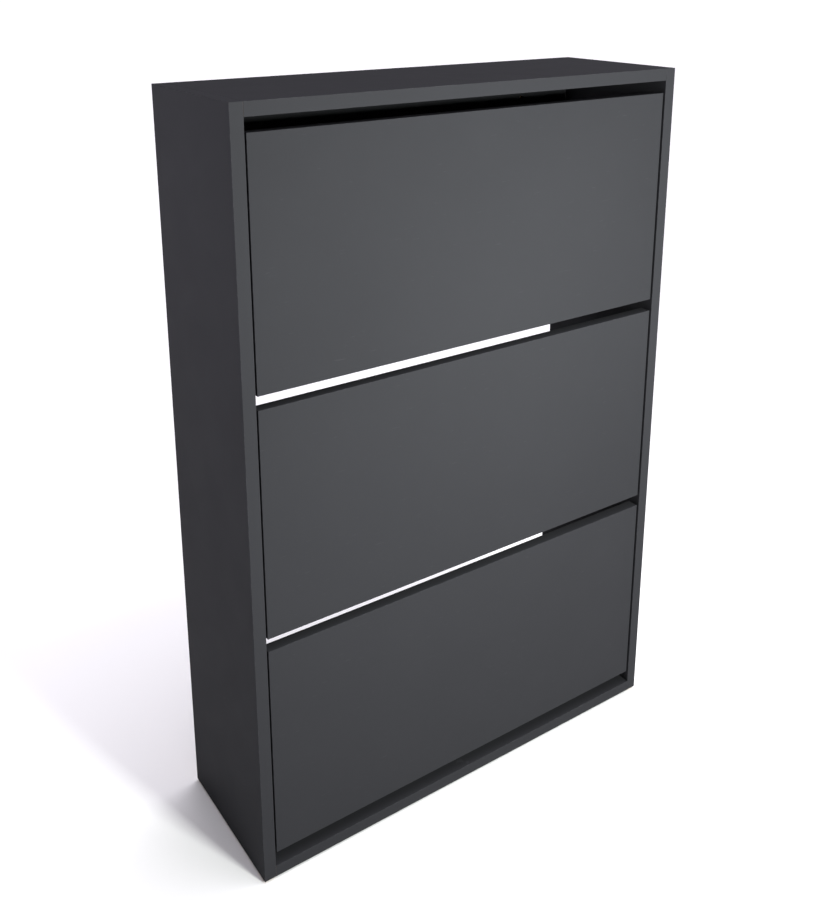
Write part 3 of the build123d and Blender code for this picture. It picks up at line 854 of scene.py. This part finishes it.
def dowel(depth, radius, fittings):
    """Fluted dowel with chamfered ends."""
    edge = 0.8 * MM
    profile = [(0, 0), (radius - edge, 0)]
    profile += rows_between(radius, -edge, edge - depth, 2 * MM)
    profile += [(radius - edge, -depth), (0, -depth)]
    groove = fluted(fittings.flutes, fittings.groove_depth, -edge / 2, edge / 2 - depth)
    return turned(profile, 4 * fittings.flutes, groove)


def glide(depth, radius, nail_head_radius, nail_depth, fittings):
    """Glide with its sole at height 0: rounded rim, a grip ring and a stepped nail hole."""
    groove, nail = fittings.groove_depth, fittings.nail_shank / 2
    clear = 0.05 * MM
    seat_radius = nail_head_radius + clear
    profile = [(nail + clear, -nail_depth), (seat_radius, -nail_depth), (seat_radius, -groove)]
    profile += [(seat_radius + groove, 0)]
    heights = (0, -groove, -groove, 0)
    profile += [(share_r * radius, height) for share_r, height in zip(GRIP_RING, heights)]
    profile += profile_of(GLIDE_RIM, radius, depth)
    profile += [(radius, groove - depth), (radius - groove, -depth), (nail + clear, -depth)]
    return turned(profile, fittings.segments, ring=True)


def glide_nail(depth, radius, fittings):
    """Nail with its head's face at height 0, ringed down to its point."""
    shank, head = fittings.nail_shank / 2, fittings.nail_head
    point = 2 * shank
    ring_gap, ring_waist = 0.6 * MM, 0.86
    profile = profile_of(NAIL_HEAD, radius, head) + [(shank, -head)]
    rings = rows_between(shank, -1.5 * head, point - depth, ring_gap)
    profile += [
        (shank * (ring_waist if step % 2 else 1), height)
        for step, (_, height) in enumerate(rings)
    ]
    profile += [(0.5 * shank, -depth + point / 3), (0, -depth)]
    return turned(profile, fittings.segments)


def stop_pin(depth, radius, fittings):
    """Steel pin with a domed end at height 0 and a knurled half that is pressed into the board."""
    dome, half, waist, knurl_gap = 0.5 * MM, -depth / 2, 0.92 * radius, 1.5 * MM
    profile = profile_of(PIN_DOME, radius, dome)
    profile += [(radius, half + dome), (waist, half), (waist, half - dome)]
    profile += rows_between(radius, half - 1.5 * dome, dome - depth, knurl_gap)
    profile += [(radius - dome, -depth), (0, -depth)]
    knurl = fluted(fittings.flutes, fittings.groove_depth / 2, half - dome, dome / 2 - depth)
    return turned(profile, 4 * fittings.flutes, knurl)


def stop_sleeve(depth, radius, fittings):
    """Rubber sleeve with rounded ends and grooves round it."""
    groove, bore = fittings.groove_depth, radius - fittings.sleeve_wall
    gap = depth / (fittings.sleeve_grooves + 1)
    profile = [(bore, 0), (radius - 2 * groove, 0)]
    profile += [(radius - groove / 2, -groove / 2), (radius, -2 * groove)]
    for step in range(1, fittings.sleeve_grooves + 1):
        middle = -gap * step
        profile += [(radius, middle + groove), (radius - groove, middle + groove / 2)]
        profile += [(radius - groove, middle - groove / 2), (radius, middle - groove)]
    profile += [(radius, 2 * groove - depth), (radius - groove / 2, groove / 2 - depth)]
    profile += [(radius - 2 * groove, -depth), (bore, -depth)]
    return turned(profile, fittings.segments, ring=True)


def fit_piece(name, copies, material, body, node):
    """Makes one piece of placed copies of meshes, which rides on a body and stands for a node."""
    joined = bmesh.new()
    for pattern, place in copies:
        count = len(joined.verts)
        joined.from_mesh(pattern)
        joined.verts.ensure_lookup_table()
        bmesh.ops.transform(joined, matrix=place, verts=joined.verts[count:])
    mesh = bpy.data.meshes.new(name)
    joined.to_mesh(mesh)
    joined.free()
    mesh.shade_smooth()
    mesh.set_sharp_from_angle(angle=HIGHEST_RIDGE)
    mesh.materials.clear()
    mesh.materials.append(material)
    piece = bpy.data.objects.new(name, mesh)
    bpy.context.scene.collection.objects.link(piece)
    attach(piece, body)
    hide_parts(node)


def fit_still_pieces(rows):
    """Makes pieces of the carcass, each from its name, mesh, seats, material, node and slot."""
    for name, pattern, seats, material, node, slot in rows:
        copies = [(pattern, matrix) for matrix, _, _ in seats]
        fit_piece(name, copies, material, CARCASS, node)


def spun(matrix, chance):
    """A seat turned round its own axis by a drawn angle, as a hand-driven screw stops."""
    return matrix @ Matrix.Rotation(chance.uniform(0, math.tau), 4, "Z")


# ---------------------------------------------------------------- operators
class CABINET_OT_carcass(bpy.types.Operator):
    """Finish the side panels, the top and bottom panels and the rear rails"""

    bl_idname = "cabinet.carcass"
    bl_label = "Carcass boards"

    def execute(self, context):
        finish = context.scene.cabinet_finish
        bare_edges = {
            "side_panel_left": (("Y", 1), ("Z", -1)),
            "side_panel_right": (("Y", 1), ("Z", -1)),
            "top_panel": (("Y", 1), ("X", 1), ("X", -1)),
            "bottom_panel": (("Y", 1), ("X", 1), ("X", -1)),
        }
        for flap in FLAPS:
            bare_edges[f"{flap}_rear_rail"] = (("X", 1), ("X", -1))
        for node, bare in bare_edges.items():
            finish_node(node, melamine(f"anthracite_{node}", node, bare, finish))
        return {"FINISHED"}


class CABINET_OT_flaps(bpy.types.Operator):
    """Finish the three flaps, banded all round"""

    bl_idname = "cabinet.flaps"
    bl_label = "Flaps"

    def execute(self, context):
        finish = context.scene.cabinet_finish
        for flap in FLAPS:
            node = f"{flap}_flap"
            finish_node(node, melamine(f"anthracite_{node}", node, (), finish))
        return {"FINISHED"}


class CABINET_OT_baskets(bpy.types.Operator):
    """Finish the basket boards"""

    bl_idname = "cabinet.baskets"
    bl_label = "Basket boards"

    def execute(self, context):
        finish = context.scene.cabinet_finish
        upright = fibreboard("fibreboard_upright", (0, 1, 0), finish)
        level = fibreboard("fibreboard_level", (0, 0, 1), finish)
        for flap in FLAPS:
            finish_node(f"{flap}_basket_divider", upright)
            finish_node(f"{flap}_basket_rear_wall", upright)
            finish_node(f"{flap}_basket_floor", level)
        return {"FINISHED"}


class CABINET_OT_mouldings(bpy.types.Operator):
    """Finish the end plates and the pivot brackets"""

    bl_idname = "cabinet.mouldings"
    bl_label = "Plastic mouldings"

    def execute(self, context):
        plastic = moulded_plastic("black_moulding", context.scene.cabinet_finish)
        for flap in FLAPS:
            for end in ENDS:
                finish_node(f"{flap}_end_plate_{end}", plastic)
                finish_node(f"{flap}_pivot_bracket_{end}", plastic)
        return {"FINISHED"}


class CABINET_OT_screws(bpy.types.Operator):
    """Make the screws of the end plates and of the pivot brackets"""

    bl_idname = "cabinet.screws"
    bl_label = "Screws"

    def execute(self, context):
        fittings = context.scene.cabinet_fittings
        steel = plated_steel("zinc_plated_steel", context.scene.cabinet_finish)
        chance = random.Random(SCREW_SEED)
        for flap in FLAPS:
            node = f"{flap}_flap_screws"
            seats = seats_of(node, (0, 1, 0))
            pattern = wood_screw(*seats[0][1:], fittings, sunk=False)
            copies = [(pattern, spun(matrix, chance)) for matrix, _, _ in seats]
            name = f"{flap}_pan_head_screws"
            fit_piece(name, copies, steel, flap_body(flap), node)
        seats = seats_of("bracket_screws")
        pattern = wood_screw(*seats[0][1:], fittings, sunk=True)
        copies = [(pattern, spun(matrix, chance)) for matrix, _, _ in seats]
        fit_piece("sunk_head_screws", copies, steel, CARCASS, "bracket_screws")
        return {"FINISHED"}


class CABINET_OT_corner_fittings(bpy.types.Operator):
    """Make the cam locks, the cam bolts and the dowels that join the boards"""

    bl_idname = "cabinet.corner_fittings"
    bl_label = "Corner fittings"

    def execute(self, context):
        finish, fittings = context.scene.cabinet_finish, context.scene.cabinet_fittings
        steel = plated_steel("bright_steel", finish)
        cast = cast_zinc("cast_zinc", finish)
        wood = beech_wood("beech_dowel", finish)
        bolts, pegs = seats_of("cam_bolts"), seats_of("dowels")
        locks = []
        for box in lumps("cam_locks"):
            size = box[1] - box[0]
            outward = (0, 1, 0) if size.y < size.z else (0, 0, -1)
            locks.append(seat(box, outward, -towards_middle(box)))
        lock = cam_lock(*locks[0][1:], bolts[0][2], fittings)
        bolt = cam_bolt(*bolts[0][1:], fittings)
        peg = dowel(*pegs[0][1:], fittings)
        fit_still_pieces((
            ("cast_cam_locks", lock, locks, cast, "cam_locks", "zinc_steel"),
            ("threaded_cam_bolts", bolt, bolts, steel, "cam_bolts", "zinc_steel"),
            ("fluted_dowels", peg, pegs, wood, "dowels", "beech"),
        ))
        return {"FINISHED"}


class CABINET_OT_glides(bpy.types.Operator):
    """Make the glides and their nails"""

    bl_idname = "cabinet.glides"
    bl_label = "Glides"

    def execute(self, context):
        finish, fittings = context.scene.cabinet_finish, context.scene.cabinet_fittings
        plastic = moulded_plastic("glide_plastic", finish)
        steel = plated_steel("nail_steel", finish)
        pads, nails = seats_of("glides", (0, 0, -1)), seats_of("glide_nails", (0, 0, -1))
        nail_face = nails[0][0].translation.z - pads[0][0].translation.z
        nail_depth = nail_face + fittings.nail_head
        pad = glide(*pads[0][1:], nails[0][2], nail_depth, fittings)
        nail = glide_nail(*nails[0][1:], fittings)
        fit_still_pieces((
            ("nail_on_glides", pad, pads, plastic, "glides", "moulded_plastic"),
            ("ringed_nails", nail, nails, steel, "glide_nails", "zinc_steel"),
        ))
        return {"FINISHED"}


class CABINET_OT_stops(bpy.types.Operator):
    """Make the stop pins and their rubber sleeves"""

    bl_idname = "cabinet.stops"
    bl_label = "Stops"

    def execute(self, context):
        finish, fittings = context.scene.cabinet_finish, context.scene.cabinet_fittings
        steel = plated_steel("pin_steel", finish)
        rubber = matt_rubber("sleeve_rubber", finish)
        pins, sleeves = seats_of("stop_pins"), seats_of("stop_sleeves")
        pin = stop_pin(*pins[0][1:], fittings)
        sleeve = stop_sleeve(*sleeves[0][1:], fittings)
        fit_still_pieces((
            ("knurled_stop_pins", pin, pins, steel, "stop_pins", "zinc_steel"),
            ("grooved_sleeves", sleeve, sleeves, rubber, "stop_sleeves", "sleeve_rubber"),
        ))
        return {"FINISHED"}


class CABINET_OT_studio(bpy.types.Operator):
    """Set up the floor, the light and the camera"""

    bl_idname = "cabinet.studio"
    bl_label = "Studio"

    def execute(self, context):
        studio = context.scene.cabinet_studio
        self.lay_floor(context, studio)
        self.light_sky(context, studio)
        for name in ("key", "fill"):
            values = ("power", "place", "aim", "size", "tint")
            facts = [getattr(studio, f"{name}_{value}") for value in values]
            self.hang_lamp(context, f"soft_{name}", *facts, studio.lamp_spread)
        self.place_camera(context, studio)
        context.scene.view_settings.view_transform = "Standard"
        return {"FINISHED"}

    @staticmethod
    def lay_floor(context, studio):
        """Wide pale floor under the glides."""
        sheet = bmesh.new()
        bmesh.ops.create_grid(sheet, x_segments=8, y_segments=8, size=studio.floor_size / 2)
        mesh = bpy.data.meshes.new("studio_floor")
        sheet.to_mesh(mesh)
        sheet.free()
        mesh.materials.append(pale_floor("pale_floor", studio))
        floor = bpy.data.objects.new("studio_floor", mesh)
        context.scene.collection.objects.link(floor)

    @staticmethod
    def light_sky(context, studio):
        """Soft sky with one bright part, in front of a white background."""
        world = bpy.data.worlds.new("soft_studio")
        context.scene.world = world
        graph = Graph(world)
        nearness = graph.dot(graph.node("ShaderNodeTexCoord")["Generated"], studio.sky_axis)
        sky = nearness.most(0.0) ** studio.sky_falloff * studio.sky_strength
        seen = graph.node("ShaderNodeLightPath")["Is Camera Ray"]
        colour = graph.blend(seen, studio.sky_tint, (1.0, 1.0, 1.0))
        sockets = {"Color": colour, "Strength": sky * (1 - seen) + seen}
        background = graph.node("ShaderNodeBackground", {}, sockets)
        graph.node("ShaderNodeOutputWorld", {}, {"Surface": background["Background"]})

    @staticmethod
    def hang_lamp(context, name, power, place, aim, size, colour, spread):
        """Square soft light, itself unseen."""
        lamp = bpy.data.lights.new(name, "AREA")
        lamp.energy, lamp.size, lamp.spread, lamp.color = power, size, spread, colour
        hung = bpy.data.objects.new(name, lamp)
        hung.location = place
        hung.rotation_euler = (Vector(aim) - hung.location).to_track_quat("-Z", "Y").to_euler()
        hung.visible_camera = False
        context.scene.collection.objects.link(hung)

    @staticmethod
    def place_camera(context, studio):
        """Camera at the front left, above the cabinet's top."""
        lens = bpy.data.cameras.new("camera")
        lens.sensor_fit = "VERTICAL"
        lens.sensor_width, lens.sensor_height = studio.sensor
        lens.lens = studio.focal_length
        lens.shift_y = studio.rise
        camera = bpy.data.objects.new("camera", lens)
        camera.location = studio.camera_place
        camera.rotation_euler = (math.pi / 2 - studio.camera_drop, 0, -studio.camera_heading)
        context.scene.collection.objects.link(camera)
        context.scene.camera = camera


STEPS = (
    CABINET_OT_carcass,
    CABINET_OT_flaps,
    CABINET_OT_baskets,
    CABINET_OT_mouldings,
    CABINET_OT_screws,
    CABINET_OT_corner_fittings,
    CABINET_OT_glides,
    CABINET_OT_stops,
    CABINET_OT_studio,
)


class CABINET_PT_sidebar(bpy.types.Panel):
    """Lists the cabinet's steps and their values"""

    bl_idname = "CABINET_PT_sidebar"
    bl_label = "Shoe Cabinet"
    bl_space_type = "VIEW_3D"
    bl_region_type = "UI"
    bl_category = "Shoe Cabinet"

    def draw(self, context):
        for step in STEPS:
            self.layout.operator(step.bl_idname)
        for name in GROUPS:
            group, box = getattr(context.scene, name), self.layout.box()
            for value in group.__annotations__:
                box.prop(group, value)


GROUPS = {
    "cabinet_finish": CabinetFinish,
    "cabinet_fittings": CabinetFittings,
    "cabinet_studio": CabinetStudio,
}


CLASSES = (*GROUPS.values(), *STEPS, CABINET_PT_sidebar)


def register():
    """Registers the classes and hangs the property groups on the scene."""
    for made in CLASSES:
        bpy.utils.register_class(made)
    for name, group in GROUPS.items():
        setattr(bpy.types.Scene, name, PointerProperty(type=group))


def unregister():
    """Undoes register."""
    for name in GROUPS:
        delattr(bpy.types.Scene, name)
    for made in reversed(CLASSES):
        bpy.utils.unregister_class(made)


def main():
    """Builds everything round the frame."""
    register()
    for step in STEPS:
        family, action = step.bl_idname.split(".")
        getattr(getattr(bpy.ops, family), action)()


if __name__ == "__main__":
    main()
